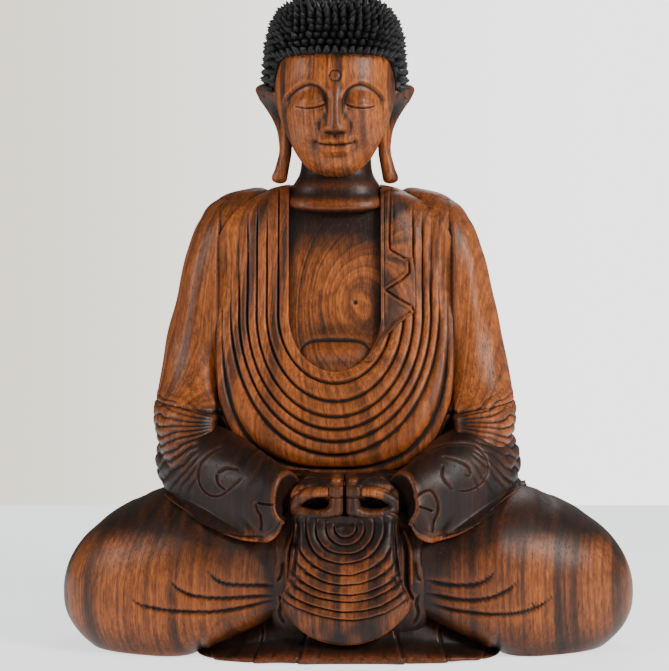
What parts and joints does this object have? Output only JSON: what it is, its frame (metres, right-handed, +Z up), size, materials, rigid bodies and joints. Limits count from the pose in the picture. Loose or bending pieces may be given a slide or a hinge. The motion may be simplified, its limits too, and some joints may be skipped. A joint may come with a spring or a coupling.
{
  "type": "seated meditation statue",
  "caption": "Seated robed figure in carved dark-stained wood, legs crossed and hands cupped in the lap, with black curled hair and a drape fanned over the ankles.",
  "frame": {"origin": "middle of the underside, on the surface that the statue stands on", "axes": "+Z up, the figure faces -Y, and its own left hand is at +X"},
  "size_m": [0.407, 0.2, 0.497],
  "materials": {
    "carved_wood": "satin wax over dark-stained, streaked rain-tree wood",
    "shaded_wood": "satin wax over the same wood, stained darker in the folds",
    "black_stain": "black stain with a soft sheen",
    "plain_dowel": "bare, hidden in the joints"
  },
  "bodies": {
    "root": {"seat_block": "carved_wood", "torso": "carved_wood", "head": "carved_wood", "forehead_mark": "carved_wood", "ear_left": "carved_wood", "ear_right": "carved_wood", "upper_sleeve_left": "carved_wood", "upper_sleeve_right": "carved_wood", "forearm_sleeve_left": "shaded_wood", "forearm_sleeve_right": "shaded_wood", "hand_left": "shaded_wood", "hand_right": "shaded_wood", "leg_left": "carved_wood", "leg_right": "carved_wood", "ankle_cloth": "shaded_wood", "hanging_drape": "carved_wood", "hem_cloth": "shaded_wood", "lapel": "shaded_wood", "hair_cap": "black_stain", "topknot": "black_stain", "neck_dowel": "plain_dowel", "topknot_dowel": "plain_dowel", "body_dowel_left": "plain_dowel", "body_dowel_right": "plain_dowel", "shoulder_dowel_left": "plain_dowel", "shoulder_dowel_right": "plain_dowel", "hip_dowel_left": "plain_dowel", "hip_dowel_right": "plain_dowel", "drape_dowel": "plain_dowel"}
  },
  "joints": []
}
